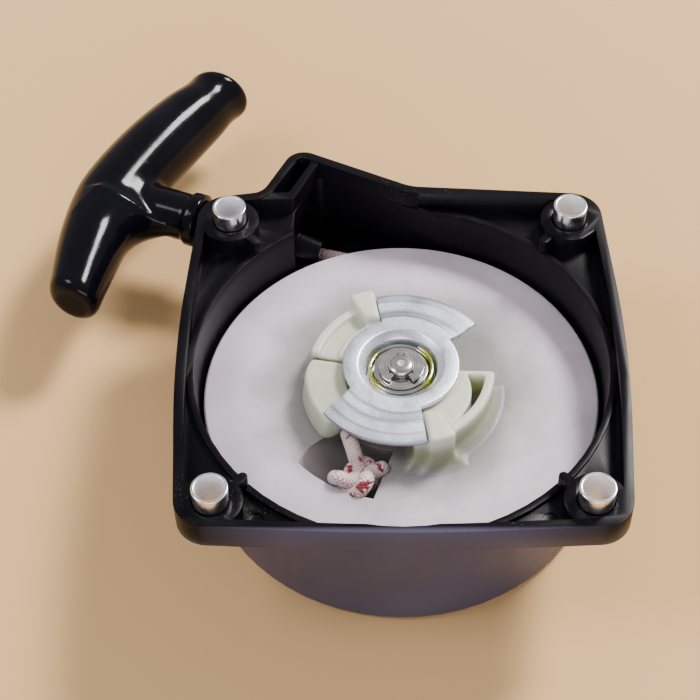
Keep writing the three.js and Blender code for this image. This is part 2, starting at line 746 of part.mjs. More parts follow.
// The grip: a turned bar with flat, round-edged ends, bent along a bow.
function gripSolid() {
  const swell = new THREE.SplineCurve(GRIP_SWELL.map(([reach, radius]) => new THREE.Vector2(radius, reach)));
  const side = swell.getPoints(30);
  const [back, front] = [side[0], side[side.length - 1]];
  const margin = GRIP_END_ROUND + 0.5;
  const middle = side.filter((point) => point.y > back.y + margin && point.y < front.y - margin);
  const profile = [...gripEnd(back, -1).reverse(), ...middle, ...gripEnd(front, 1)];
  const bar = new THREE.LatheGeometry(profile, 26);
  const position = bar.attributes.position;
  for (let i = 0; i < position.count; i++) {
    const reach = position.getY(i);
    position.setX(i, position.getX(i) + GRIP_X - GRIP_BEND * (Math.abs(reach) / 50) ** 1.55);
    position.setY(i, reach + GRIP_MIDDLE);
  }
  return solid(bar);
}

function makeHandle() {
  const end = new THREE.Vector3(0, 0, 0);
  const middle = along(end, AXIS, GRIP_X);
  const neck = rod(end, middle, NECK_R, NECK_R);
  const bead = rod(end, along(end, AXIS, NECK_BEAD), NECK_R + 0.8);
  const flare = rod(along(end, AXIS, 9), middle, NECK_R, NECK_R + 2.4);
  const bore = rod(along(end, AXIS, -1), middle, HANDLE_BORE_R, HANDLE_BORE_R, 16);
  const corners = [
    [POCKET_START, -POCKET_HALF, 0.3],
    [POCKET_END, -POCKET_HALF, 2],
    [POCKET_END, POCKET_HALF, 2],
    [POCKET_START, POCKET_HALF, 0.3],
  ];
  const pocket = prism(roundedPolygon(corners), -12, POCKET_HALF, 4);
  return place(cut(join(gripSolid(), neck, bead, flare), bore, pocket));
}

// From the handle's own axes to its place at the end of the duct.
function place(body) {
  const start = along(OUTLET, PULL, HANDLE_GAP);
  return body.rotate([0, 0, PULL_ANGLE]).translate([start.x, start.y, start.z]);
}

function makeRopeRetainer() {
  const face = new THREE.Vector3(POCKET_START + GAP, 0, 0);
  const hole = rod(along(face, AXIS, -1), along(face, AXIS, 2), HANDLE_BORE_R, HANDLE_BORE_R, 16);
  return place(cut(rod(face, along(face, AXIS, RETAINER_THICK), POCKET_HALF - 1.5 * GAP), hole));
}

function makeHandleKnot() {
  const [length, radius] = [4.3, 4.4];
  const middle = POCKET_START + 2 * GAP + RETAINER_THICK + length;
  const lump = new THREE.SphereGeometry(1, 18, 12).scale(length, radius, radius).translate(middle, 0, 0);
  return place(solid(lump));
}

// ---------------------------------------------------------------- assembly

addPart('housing', makeHousing(), blackPlastic);
const spacerNames = ['spacer_front_left', 'spacer_front_right', 'spacer_back_right', 'spacer_back_left'];
cornerPoints().forEach(([x, y], i) => addPart(spacerNames[i], makeSpacer(x, y), spacerMetal));
addPart('centre_post', makeCentrePost(), brightSteel);
addPart('thrust_washer', makeThrustWasher(), brightSteel);
addPart('e_clip', makeEClip(), brightSteel);
addPart('spring_case', makeSpringCase(), caseSteel);
addPart('recoil_spring', makeRecoilSpring(), springSteel);
addPart('spool', makeSpool(), whiteNylon);
addPart('pawl', makePawl(), pawlNylon);
addPart('guide_plate', makeGuidePlate(), zincPlate);
addPart('friction_spring', makeFrictionSpring(), springWire);
addPart('rope_coil', makeRopeCoil(), rope);
addPart('rope_run', makeRopeRun(), rope);
addPart('spool_knot', makeSpoolKnot(), rope);
addPart('handle', makeHandle(), glossBlackPlastic);
addPart('rope_retainer', makeRopeRetainer(), caseSteel);
addPart('handle_knot', makeHandleKnot(), rope);

export default parts;
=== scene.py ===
"""The looks of a recoil starter, built round its CAD frame.

Metres, +Z up. The spool's axis is the Z axis, and the cup's outer floor is at z = 0.
"""

import math

import bmesh
import bpy
import numpy as np
from mathutils import Matrix, Vector


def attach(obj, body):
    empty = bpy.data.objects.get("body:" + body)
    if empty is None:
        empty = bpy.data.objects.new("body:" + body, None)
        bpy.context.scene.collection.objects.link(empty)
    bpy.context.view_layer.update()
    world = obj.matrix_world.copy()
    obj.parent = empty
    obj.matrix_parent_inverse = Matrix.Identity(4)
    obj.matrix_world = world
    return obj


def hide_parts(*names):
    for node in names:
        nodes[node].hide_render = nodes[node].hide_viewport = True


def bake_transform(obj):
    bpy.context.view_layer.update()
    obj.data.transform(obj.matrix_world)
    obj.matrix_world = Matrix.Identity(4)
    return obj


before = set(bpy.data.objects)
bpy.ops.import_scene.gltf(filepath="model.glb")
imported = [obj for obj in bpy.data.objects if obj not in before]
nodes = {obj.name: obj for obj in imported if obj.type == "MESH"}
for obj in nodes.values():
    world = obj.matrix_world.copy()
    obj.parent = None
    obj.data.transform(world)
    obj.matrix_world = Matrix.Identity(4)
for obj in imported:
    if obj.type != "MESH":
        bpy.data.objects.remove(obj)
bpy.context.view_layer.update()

MM = 0.001

# ---------------------------------------------------------------- dimensions shared with the CAD part

SPOOL_R = 46.1 * MM
SPOOL_RIM_Z = 24.0 * MM
SPOOL_HUB_Z = 25.0 * MM
SPOOL_BORE_R = 5.3 * MM
GROOVE_FLOOR_Z = 14.7 * MM
GROOVE_ROOF_Z = 22.7 * MM
CORE_R = 33.0 * MM
LOWER_FLANGE_R = 45.2 * MM
LOWER_FLANGE_Z = 13.2 * MM
ARBOR_R = 8.0 * MM
ARBOR_Z = 4.0 * MM
POCKET_INNER_R = 15.0 * MM
HUB_R = 21.6 * MM
HUB_WALL = 2.2 * MM
HUB_BOSS_R = 12.6 * MM
HUB_WALL_Z = 33.1 * MM
WINDOW_INNER_R = 17.7 * MM
WINDOW_OUTER_R = 31.3 * MM
WINDOW_LEFT = 218  # degrees, like the next two
RAMP_FOOT = 235
WINDOW_RIGHT = 258.3
UNDER_WING_Z = 31.9 * MM
STOP_BLOCK_Z = 35.2 * MM
CUPPED_R = 9.6 * MM
CUPPED_Z = 28.3 * MM
POST_R = 5.0 * MM
POST_NECK_R = 3.0 * MM
POST_FOOT_Z = 2.8 * MM
POST_SHOULDER_Z = 32.0 * MM
CLIP_GROOVE_R = 2.3 * MM
CLIP_Z = 33.4 * MM
CLIP_THICK = 0.6 * MM
PLATE_Z = 34.9 * MM
PLATE_THICK = 1.2 * MM
ROPE_R = 1.75 * MM
ROPE_Z = 20.6 * MM
SPACER_R = 4.0 * MM
SPACER_BORE_R = 3.25 * MM
SPACER_PITCH = 82.0 * MM
SPACER_LOW_Z = 34.1 * MM
SPACER_TOP_Z = 44.0 * MM

# The rope's way out: the guide in the tower, the duct's mouth and the line of the pull.
GUIDE = Vector((-19.4, 48.2, 18.8)) * MM
OUTLET = Vector((-49.6, 58.1, 20.6)) * MM
PULL_ANGLE = math.radians(159.3)
PULL = Vector((math.cos(PULL_ANGLE), math.sin(PULL_ANGLE), 0))
HANDLE_START = OUTLET + PULL * 0.6 * MM
GRIP_X = 25.0 * MM  # middle of the grip from the neck's end


# ---------------------------------------------------------------- mesh tools


def add_mesh(name, vertices, faces, material, smooth=True):
    mesh = bpy.data.meshes.new(name)
    mesh.from_pydata([tuple(v) for v in vertices], [], [tuple(f) for f in faces])
    mesh.polygons.foreach_set("use_smooth", [smooth] * len(mesh.polygons))
    mesh.materials.append(material)
    obj = bpy.data.objects.new(name, mesh)
    bpy.context.scene.collection.objects.link(obj)
    return obj


def polar(radius, degrees):
    return radius * math.cos(math.radians(degrees)), radius * math.sin(math.radians(degrees))


def in_mm(points):
    return [(x * MM, y * MM) for x, y in points]


def lathe(name, profile, material, steps=160):
    """Turns a closed profile of (radius, height) points round the Z axis."""
    vertices = []
    for i in range(steps):
        turn = 2 * math.pi * i / steps
        vertices += [(r * math.cos(turn), r * math.sin(turn), z) for r, z in profile]
    count = len(profile)
    faces = []
    for i in range(steps):
        here, there = i * count, (i + 1) % steps * count
        for j in range(count):
            k = (j + 1) % count
            faces.append((here + j, there + j, there + k, here + k))
    obj = add_mesh(name, vertices, faces, material)
    weld(obj)
    return obj


def weld(obj, distance=1e-6):
    shape = bmesh.new()
    shape.from_mesh(obj.data)
    bmesh.ops.remove_doubles(shape, verts=shape.verts, dist=distance)
    bmesh.ops.recalc_face_normals(shape, faces=shape.faces)
    shape.to_mesh(obj.data)
    shape.free()


def rounded(profile, radius, steps=3):
    """A closed profile with each corner replaced by a small arc."""
    points = [np.array(p, float) for p in profile]
    result = []
    for i, corner in enumerate(points):
        before, after = points[i - 1] - corner, points[(i + 1) % len(points)] - corner
        room = min(np.linalg.norm(before), np.linalg.norm(after)) / 2
        reach = min(radius, room)
        start = corner + before / np.linalg.norm(before) * reach
        end = corner + after / np.linalg.norm(after) * reach
        for k in range(steps + 1):
            t = k / steps
            result.append((1 - t) ** 2 * start + 2 * t * (1 - t) * corner + t**2 * end)
    return [tuple(p) for p in result]


def prism(name, outline, low, high, material):
    count = len(outline)
    vertices = [(x, y, low) for x, y in outline] + [(x, y, high) for x, y in outline]
    faces = [tuple(reversed(range(count))), tuple(range(count, 2 * count))]
    faces += [(i, (i + 1) % count, (i + 1) % count + count, i + count) for i in range(count)]
    obj = add_mesh(name, vertices, faces, material, smooth=False)
    return obj


def arc(radius, start, end, steps=24, centre=(0, 0)):
    """Points along an arc, its angles in degrees."""
    turns = [start + (end - start) * i / steps for i in range(steps + 1)]
    return [(centre[0] + polar(radius, t)[0], centre[1] + polar(radius, t)[1]) for t in turns]


def boolean(obj, tool, operation):
    modifier = obj.modifiers.new("boolean", "BOOLEAN")
    modifier.object = tool
    modifier.operation = operation
    modifier.solver = "EXACT"
    apply_modifiers(obj)
    bpy.data.objects.remove(tool)


def apply_modifiers(obj):
    bpy.context.view_layer.update()
    final = bpy.data.meshes.new_from_object(obj.evaluated_get(bpy.context.evaluated_depsgraph_get()))
    obj.modifiers.clear()
    obj.data = final


def bevel(obj, width, segments=2, angle=35):
    modifier = obj.modifiers.new("bevel", "BEVEL")
    modifier.width = width
    modifier.segments = segments
    modifier.limit_method = "ANGLE"
    modifier.angle_limit = math.radians(angle)
    modifier.use_clamp_overlap = True
    modifier.harden_normals = True


def shade_by_angle(obj, degrees=35):
    obj.data.polygons.foreach_set("use_smooth", [True] * len(obj.data.polygons))
    obj.data.set_sharp_from_angle(angle=math.radians(degrees))


def tube(name, points, radius, material, sides=16):
    """A round section swept along points, with U along it in metres and V round it from 0 to 1."""
    path = [Vector(p) for p in points]
    count = len(path)
    tangents = [(path[min(i + 1, count - 1)] - path[max(i - 1, 0)]).normalized() for i in range(count)]
    across = tangents[0].orthogonal().normalized()
    vertices, lengths, length = [], [], 0.0
    for i in range(count):
        if i:
            length += (path[i] - path[i - 1]).length
            across = (across - tangents[i] * across.dot(tangents[i])).normalized()
        upward = tangents[i].cross(across)
        lengths.append(length)
        for k in range(sides):
            turn = 2 * math.pi * k / sides
            vertices.append(path[i] + (across * math.cos(turn) + upward * math.sin(turn)) * radius)
    faces = []
    for here in range(0, (count - 1) * sides, sides):
        there = here + sides
        for k in range(sides):
            beside = (k + 1) % sides
            faces.append((here + k, here + beside, there + beside, there + k))
    walls = len(faces)
    faces += [tuple(reversed(range(sides))), tuple(range((count - 1) * sides, count * sides))]
    obj = add_mesh(name, vertices, faces, material)
    layer = obj.data.uv_layers.new(name="along")
    for polygon in obj.data.polygons:
        last_wall = polygon.index < walls and polygon.index % sides == sides - 1
        for loop in polygon.loop_indices:
            ring, side = divmod(obj.data.loops[loop].vertex_index, sides)
            layer.data[loop].uv = (lengths[ring], 1.0 if last_wall and side == 0 else side / sides)
    return obj


def smooth_path(points, per_span=8):
    """A Catmull-Rom curve through the points."""
    path = [Vector(p) for p in points]
    path = [path[0] * 2 - path[1]] + path + [path[-1] * 2 - path[-2]]
    result = []
    for a, b, c, d in zip(path, path[1:], path[2:], path[3:]):
        for i in range(per_span):
            t = i / per_span
            square = (2 * a - 5 * b + 4 * c - d) * t**2
            cube = (3 * b - a - 3 * c + d) * t**3
            result.append(0.5 * (2 * b + (c - a) * t + square + cube))
    return result + [path[-2]]


# ---------------------------------------------------------------- rounded solids from distance fields


def smooth_max(a, b, blend):
    overlap = np.maximum(blend - np.abs(a - b), 0) / blend
    return np.maximum(a, b) + overlap**2 * blend / 4


def smooth_min(a, b, blend):
    return -smooth_max(-a, -b, blend)


def beyond(x, y, degrees):
    """Distance past the line from the axis at this angle, positive on its anticlockwise side."""
    turn = math.radians(degrees)
    return y * math.cos(turn) - x * math.sin(turn)


def right_of(x, y, start, end):
    """Distance to the right of the line from start to end."""
    (ax, ay), (bx, by) = start, end
    return ((x - ax) * (by - ay) - (y - ay) * (bx - ax)) / math.hypot(bx - ax, by - ay)


def convex(x, y, corners, soft):
    """Distance outside a convex outline given anticlockwise, in the units of x and y."""
    result = None
    for start, end in zip(corners, corners[1:] + corners[:1]):
        outside = right_of(x, y, start, end)
        result = outside if result is None else smooth_max(result, outside, soft)
    return result


def field_mesh(name, field, low, high, step, material):
    """A closed mesh of the surface where field(x, y, z) is zero, with the solid where it is negative."""
    axes = [np.arange(a, b + step, step) for a, b in zip(low, high)]
    grid = np.meshgrid(*axes, indexing="ij")
    value = field(*grid).astype(np.float32)
    inside = value < 0
    shape = np.array(inside.shape) - 1
    count = np.zeros(tuple(shape), np.float32)
    total = np.zeros((*shape, 3), np.float32)

    def corner(array, i, j, k):
        return array[i : i + shape[0], j : j + shape[1], k : k + shape[2]]

    corners = [(i, j, k) for i in (0, 1) for j in (0, 1) for k in (0, 1)]
    for a in corners:
        for axis in range(3):
            if a[axis]:
                continue
            b = tuple(v + (1 if n == axis else 0) for n, v in enumerate(a))
            va, vb = corner(value, *a), corner(value, *b)
            crossing = (va < 0) != (vb < 0)
            share = np.where(crossing, va / np.where(crossing, va - vb, 1), 0)
            count += crossing
            for n in range(3):
                total[..., n] += crossing * (a[n] + (share if n == axis else 0))
    cells = np.argwhere(count > 0)
    number = -np.ones(tuple(shape), np.int64)
    number[tuple(cells.T)] = np.arange(len(cells))
    offset = total[tuple(cells.T)] / count[tuple(cells.T)][:, None]
    vertices = np.array(low) + (cells + offset) * step

    faces = []
    for axis in range(3):
        u, v = [n for n in range(3) if n != axis]
        first = np.take(inside, range(shape[axis]), axis)
        second = np.take(inside, range(1, shape[axis] + 1), axis)
        for flips, changed in ((False, first & ~second), (True, ~first & second)):
            edge = np.argwhere(changed)
            within = (edge[:, u] > 0) & (edge[:, v] > 0) & (edge[:, u] < shape[u]) & (edge[:, v] < shape[v])
            edge = edge[within]
            around = []
            for du, dv in ((0, 0), (-1, 0), (-1, -1), (0, -1)):
                cell = edge.copy()
                cell[:, u] += du
                cell[:, v] += dv
                around.append(number[tuple(cell.T)])
            quads = np.stack(around, 1)
            if flips != (axis == 1):
                quads = quads[:, ::-1]
            faces.append(quads)
    faces = np.concatenate(faces)

    def rise(shift):
        return (field(*(vertices + shift).T) - field(*(vertices - shift).T)) / (2 * nudge)

    nudge, rounds, flattest = step / 4, 3, 0.25
    for _ in range(rounds):
        centre = field(*vertices.T)
        slope = np.stack([rise(nudge * unit) for unit in np.eye(3)], 1)
        steepness = np.maximum((slope**2).sum(1), flattest)
        shift = np.clip(centre / steepness, -step / 2, step / 2)
        vertices = vertices - slope * shift[:, None]
    return add_mesh(name, vertices.tolist(), faces.tolist(), material)


# ---------------------------------------------------------------- material tools


class Surface:
    """A material under construction: a Principled shader with the nodes that feed it."""

    def __init__(self, name, **constants):
        self.material = bpy.data.materials.new(name)
        self.material.use_nodes = True
        self.tree = self.material.node_tree
        self.shader = self.tree.nodes["Principled BSDF"]
        for socket, value in constants.items():
            self.shader.inputs[socket.replace("_", " ")].default_value = value
        self.place = self.node("ShaderNodeTexCoord").outputs["Object"]

    def node(self, kind, inputs=None, **settings):
        node = self.tree.nodes.new(kind)
        for setting, value in settings.items():
            setattr(node, setting, value)
        for socket, value in (inputs or {}).items():
            self.feed(node.inputs[socket], value)
        return node

    def feed(self, socket, value):
        if isinstance(value, bpy.types.NodeSocket):
            self.tree.links.new(value, socket)
        else:
            socket.default_value = value

    def set(self, socket, value):
        self.feed(self.shader.inputs[socket], value)

    def noise(self, scale, detail=4.0, vector=None, roughness=0.5):
        inputs = {"Vector": vector or self.place, "Scale": scale, "Detail": detail, "Roughness": roughness}
        return self.node("ShaderNodeTexNoise", inputs).outputs["Fac"]

    def spots(self, scale, vector=None):
        inputs = {"Vector": vector or self.place, "Scale": scale}
        return self.node("ShaderNodeTexVoronoi", inputs).outputs["Distance"]

    def math(self, operation, a, b=0.0):
        return self.node("ShaderNodeMath", {0: a, 1: b}, operation=operation).outputs[0]

    def span(self, value, low, high, to_low=0.0, to_high=1.0):
        inputs = {"Value": value, "From Min": low, "From Max": high, "To Min": to_low, "To Max": to_high}
        return self.node("ShaderNodeMapRange", inputs).outputs["Result"]

    def mix(self, share, a, b):
        node = self.node("ShaderNodeMix", data_type="RGBA")
        self.feed(node.inputs["Factor"], share)
        for socket, value in ((node.inputs[6], a), (node.inputs[7], b)):
            self.feed(socket, value if isinstance(value, bpy.types.NodeSocket) else (*value, 1))
        return node.outputs[2]

    def axes(self, vector=None):
        return self.node("ShaderNodeSeparateXYZ", {0: vector or self.place}).outputs

    def product(self, a, b):
        return self.math("MULTIPLY", a, b)

    def radius(self):
        """Distance from the Z axis of the piece."""
        x, y = self.axes()[:2]
        return self.math("SQRT", self.math("ADD", self.product(x, x), self.product(y, y)))

    def bump(self, height, distance, strength=1.0, normal=None):
        inputs = {"Height": height, "Distance": distance, "Strength": strength}
        if normal is not None:
            inputs["Normal"] = normal
        return self.node("ShaderNodeBump", inputs).outputs["Normal"]


def painted_reflection_area(s):
    """1 on the outside of the cup, its floor and the flange's front, where the painted reflection goes, and
    0 elsewhere.
    """
    x, y, z = s.axes()[:3]
    radius = s.radius()
    normal = s.axes(s.node("ShaderNodeTexCoord").outputs["Normal"])
    outward = s.math("ADD", s.product(x, normal[0]), s.product(y, normal[1]))
    outward = s.span(s.math("DIVIDE", outward, radius), 0.2, 0.5)
    cup = s.product(s.span(z, 34 * MM, 31 * MM), s.span(radius, 38 * MM, 42 * MM))
    not_tower = s.math("MAXIMUM", s.span(y, 30 * MM, 15 * MM), s.span(x, 5 * MM, 15 * MM))
    outside = s.product(s.product(outward, cup), not_tower)
    outside = s.math("MAXIMUM", outside, s.span(normal[2], -0.5, -0.9))
    return s.math("MAXIMUM", outside, s.span(y, -47.6 * MM, -48.6 * MM))


def black_plastic():
    """Moulded satin plastic with a fine grain and dust in places; the outside of the cup, its floor and the
    flange's front carry a lighter violet grey, a painted reflection.
    """
    s = Surface("black_plastic", Specular_IOR_Level=0.11)
    flow = s.noise(60, 3)
    dust = s.product(s.span(s.spots(1300), 0.13, 0.07), s.span(s.noise(45, 2), 0.54, 0.66))
    base = s.mix(s.span(flow, 0.35, 0.7), (0.0018, 0.0014, 0.0022), (0.0042, 0.0034, 0.0052))
    # painted reflection: a violet grey laid on the outer faces in place of a bright backdrop mirrored in
    # them
    painted_reflection = s.mix(s.span(s.noise(35, 4), 0.35, 0.7), (0.050, 0.047, 0.076), (0.066, 0.062, 0.096))
    base = s.mix(painted_reflection_area(s), base, painted_reflection)
    s.set("Base Color", s.mix(s.product(dust, 0.5), base, (0.3, 0.3, 0.32)))
    s.set("Roughness", s.span(flow, 0.3, 0.7, 0.3, 0.42))
    grain = s.noise(2600, 2)
    s.set("Normal", s.bump(grain, 0.00003, 0.35))
    return s.material


def gloss_black_plastic():
    """Polished plastic: almost even, with faint waves from moulding and a few fine scuffs."""
    s = Surface("gloss_black_plastic", Specular_IOR_Level=0.13)
    wave = s.noise(90, 2)
    scuffs = s.span(s.noise(700, 5), 0.62, 0.75)
    s.set("Base Color", s.mix(s.span(wave, 0.3, 0.7), (0.0016, 0.0015, 0.003), (0.0032, 0.003, 0.0055)))
    s.set("Roughness", s.span(scuffs, 0, 1, 0.13, 0.26))
    s.set("Normal", s.bump(wave, 0.0004, 0.12))
    return s.material


def white_nylon():
    """Milky nylon that light enters, with a frosted moulded skin; painted shade darkens the disc towards the
    hub and the hub low down, painted light brightens the hub's wall tops, and painted glints fleck the outer
    disc.
    """
    s = Surface(
        "white_nylon",
        Subsurface_Weight=0.55,
        Subsurface_Radius=(0.0045, 0.0042, 0.003),
        Subsurface_Scale=1.0,
        Specular_IOR_Level=0.45,
    )
    z = s.axes()[2]
    radius = s.radius()
    cloud = s.noise(70, 4)
    fine = s.noise(1800, 3)
    base = s.mix(s.span(cloud, 0.3, 0.7), (0.50, 0.43, 0.48), (0.64, 0.55, 0.60))
    # painted shade: the disc darker towards the hub, a shadow ring round it
    uneven = s.math("ADD", radius, s.product(s.math("SUBTRACT", cloud, 0.5), 12 * MM))
    inner = s.span(uneven, 36 * MM, 24 * MM)
    base = s.mix(s.product(inner, 0.85), base, (0.2, 0.195, 0.175))
    # painted shade: the hub darker and greener low down, in its depths
    hub = s.span(z, SPOOL_HUB_Z + 0.2 * MM, SPOOL_HUB_Z + 1.6 * MM)
    base = s.mix(hub, base, (0.36, 0.38, 0.25))
    # painted light: the hub's upper walls and tops lighter, where light falls on them
    lit_wall_tops = s.span(z, UNDER_WING_Z - 2 * MM, HUB_WALL_Z - 0.4 * MM)
    base = s.mix(lit_wall_tops, base, (0.56, 0.57, 0.47))
    stain = s.span(s.noise(260, 4), 0.66, 0.78)
    base = s.mix(s.product(stain, 0.3), base, (0.45, 0.38, 0.27))
    # painted glints: bright specks over the outer ring of the disc
    painted_glints = s.product(s.span(s.spots(2600), 0.2, 0.1), s.span(radius, 34 * MM, 45 * MM))
    s.set("Base Color", s.mix(s.product(painted_glints, 0.4), base, (0.92, 0.9, 0.94)))
    s.set("Roughness", s.span(fine, 0.3, 0.7, 0.36, 0.55))
    s.set("Normal", s.bump(fine, 0.00005, 0.5))
    return s.material


def pawl_nylon():
    """Clearer, greener nylon than the spool's, with a smoother skin."""
    s = Surface(
        "pawl_nylon",
        Subsurface_Weight=0.6,
        Subsurface_Radius=(0.004, 0.0042, 0.003),
        Subsurface_Scale=1.0,
        Specular_IOR_Level=0.5,
    )
    cloud = s.noise(180, 3)
    s.set("Base Color", s.mix(s.span(cloud, 0.3, 0.7), (0.44, 0.46, 0.34), (0.52, 0.54, 0.42)))
    s.set("Roughness", s.span(cloud, 0.3, 0.7, 0.35, 0.48))
    s.set("Normal", s.bump(s.noise(1500, 3), 0.00003, 0.4))
    return s.material


def zinc_plate():
    """Bright zinc on pressed steel: a crystalline grain, duller rubbed patches and painted shade in lines
    along the steps.
    """
    s = Surface("zinc_plate", Metallic=1.0)
    grain = s.noise(2300, 6, roughness=0.7)
    patches = s.noise(170, 4)
    radius = s.radius()
    base = s.mix(s.span(grain, 0.33, 0.68), (0.52, 0.55, 0.70), (0.95, 0.97, 1.0))
    base = s.mix(s.span(patches, 0.5, 0.75, 0, 0.3), base, (0.42, 0.45, 0.58))
    # painted shade: dark lines at the radii of the plate's steps
    for shade_line_r, width in ((14.3, 0.5), (16.4, 0.9), (19.6, 0.5), (21.7, 0.5)):
        away = s.math("ABSOLUTE", s.math("SUBTRACT", radius, shade_line_r * MM))
        base = s.mix(s.span(away, width * MM, 0.0, 0, 0.55), base, (0.2, 0.21, 0.3))
    s.set("Base Color", base)
    s.set("Roughness", s.span(patches, 0.3, 0.7, 0.3, 0.46))
    s.set("Normal", s.bump(grain, 0.00006, 0.8))
    return s.material


def turned_metal(name, light, dark, roughness, bore_r):
    """Turned steel or aluminium: fine rings round the piece's own axis, and a rough drilled bore."""
    s = Surface(name, Metallic=1.0)
    radius = s.radius()
    tool_path = s.product(s.math("ADD", radius, s.axes()[2]), 4000.0)
    rings = s.noise(1.0, 3, s.node("ShaderNodeCombineXYZ", {2: tool_path}).outputs[0])
    smudge = s.noise(420, 4)
    s.set("Base Color", s.mix(s.span(rings, 0.3, 0.7), dark, light))
    polished = s.span(smudge, 0.3, 0.7, roughness, roughness + 0.12)
    s.set("Roughness", s.math("ADD", polished, s.span(radius, bore_r + 0.2 * MM, bore_r, 0, 0.4)))
    s.set("Normal", s.bump(rings, 0.00004, 0.6))
    return s.material


def strip_steel(name, light, dark, roughness):
    """Rolled strip: long faint streaks and a little dulling."""
    s = Surface(name, Metallic=1.0)
    streaks = s.noise(900, 5, roughness=0.7)
    smudge = s.noise(240, 4)
    s.set("Base Color", s.mix(s.span(streaks, 0.3, 0.7), dark, light))
    s.set("Roughness", s.span(smudge, 0.3, 0.7, roughness, roughness + 0.15))
    s.set("Normal", s.bump(streaks, 0.00003, 0.3))
    return s.material


def greased_wire():
    """Bright wire with yellow-green grease gathered at its left and right."""
    s = Surface("greased_wire", Metallic=1.0, Coat_Weight=1.0, Coat_Roughness=0.08)
    film = s.noise(380, 3)
    sides = s.span(s.math("ABSOLUTE", s.axes()[0]), 3.5 * MM, 5.5 * MM)
    grease = s.product(s.span(film, 0.3, 0.5, 0.4, 1), sides)
    s.set("Base Color", s.mix(grease, (0.5, 0.5, 0.48), (0.42, 0.42, 0.04)))
    s.set("Roughness", s.span(film, 0.35, 0.65, 0.12, 0.25))
    s.set("Normal", s.bump(s.noise(900, 3), 0.00008, 0.5))
    return s.material


def braided_rope():
    """White braid with red flecks. U runs along the rope in metres and V once round it."""
    s = Surface(
        "braided_rope", Subsurface_Weight=0.25, Subsurface_Radius=(0.001, 0.0008, 0.0007), Sheen_Weight=0.4
    )
    uv = s.node("ShaderNodeUVMap", uv_map="along").outputs[0]
    u, v = s.axes(uv)[:2]
    lay = 5.2 * MM  # one strand's turn round the rope
    strands = 8.0
    along = s.product(u, strands / lay)
    around = s.product(v, strands)
    one_way = s.math("ADD", along, around)
    other_way = s.math("SUBTRACT", along, around)
    ridge_a = s.math("ABSOLUTE", s.math("SINE", s.product(one_way, math.pi)))
    ridge_b = s.math("ABSOLUTE", s.math("SINE", s.product(other_way, math.pi)))
    height = s.product(ridge_a, ridge_b)
    cell = s.node(
        "ShaderNodeCombineXYZ", {0: s.math("FLOOR", one_way), 1: s.math("FLOOR", other_way)}
    ).outputs[0]
    pick = s.node("ShaderNodeTexWhiteNoise", {0: cell}, noise_dimensions="2D").outputs["Value"]
    bundle = s.span(s.noise(330, 1), 0.54, 0.58)
    fleck = s.product(s.math("GREATER_THAN", pick, 0.35), bundle)
    worn = s.noise(260, 3)
    base = s.mix(s.span(worn, 0.35, 0.65), (0.86, 0.60, 0.57), (0.9, 0.77, 0.75))
    # painted shade in the crevices between the strands
    base = s.mix(s.span(height, 0.0, 0.5, 0.35, 0), base, (0.42, 0.2, 0.18))
    s.set("Base Color", s.mix(fleck, base, (0.3, 0.012, 0.025)))
    s.set("Roughness", s.span(height, 0, 1, 0.9, 0.6))
    fibre = s.noise(3000, 3)
    normal = s.bump(height, 0.0003, 0.9)
    s.set("Normal", s.bump(fibre, 0.00005, 0.5, normal))
    return s.material


def floor_paper():
    """Matt tan paper, a little uneven in tone."""
    s = Surface("floor_paper", Specular_IOR_Level=0.1)
    tone = s.noise(6, 2)
    s.set("Base Color", s.mix(s.span(tone, 0.3, 0.7), (0.615, 0.378, 0.165), (0.63, 0.392, 0.178)))
    s.set("Roughness", s.span(s.noise(900, 3), 0.3, 0.7, 0.85, 0.95))
    return s.material


BLACK_PLASTIC = black_plastic()
GLOSS_BLACK = gloss_black_plastic()
WHITE_NYLON = white_nylon()
PAWL_NYLON = pawl_nylon()
ZINC = zinc_plate()
SPACER_METAL = turned_metal("spacer_metal", (0.97, 0.97, 1.0), (0.84, 0.84, 0.88), 0.14, SPACER_BORE_R)
BRIGHT_STEEL = turned_metal("bright_steel", (0.78, 0.77, 0.76), (0.3, 0.29, 0.28), 0.16, POST_NECK_R / 4)
CASE_STEEL = strip_steel("case_steel", (0.6, 0.61, 0.63), (0.45, 0.46, 0.48), 0.3)
SPRING_STEEL = strip_steel("spring_steel", (0.3, 0.32, 0.36), (0.18, 0.2, 0.24), 0.25)
GREASED_WIRE = greased_wire()
ROPE = braided_rope()

# ---------------------------------------------------------------- housing, spring and case: CAD nodes


def finish_cad_node(name, material, edge):
    """A carried-over node gets its material, rounded edges and shading by angle."""
    obj = nodes[name]
    obj.data.materials.clear()
    obj.data.materials.append(material)
    join = obj.modifiers.new("weld", "WELD")
    join.merge_threshold = 1e-5
    obj.data.polygons.foreach_set("use_smooth", [True] * len(obj.data.polygons))
    bevel(obj, edge, 2, 40)


finish_cad_node("housing", BLACK_PLASTIC, 0.35 * MM)
finish_cad_node("spring_case", CASE_STEEL, 0.15 * MM)
finish_cad_node("recoil_spring", SPRING_STEEL, 0.1 * MM)

# ---------------------------------------------------------------- spacers and centre stack


def make_spacer(name, x, y):
    profile = [
        (SPACER_BORE_R, SPACER_LOW_Z),
        (SPACER_R, SPACER_LOW_Z),
        (SPACER_R, SPACER_TOP_Z),
        (SPACER_BORE_R, SPACER_TOP_Z),
    ]
    obj = lathe(name + "_fine", rounded(profile, 0.25 * MM), SPACER_METAL, 96)
    obj.location = (x, y, 0)
    shade_by_angle(obj, 50)
    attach(obj, "housing")
    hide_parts(name)


half_pitch = SPACER_PITCH / 2
for side, x in (("left", -half_pitch), ("right", half_pitch)):
    for end, y in (("front", -half_pitch), ("back", half_pitch)):
        make_spacer(f"spacer_{end}_{side}", x, y)


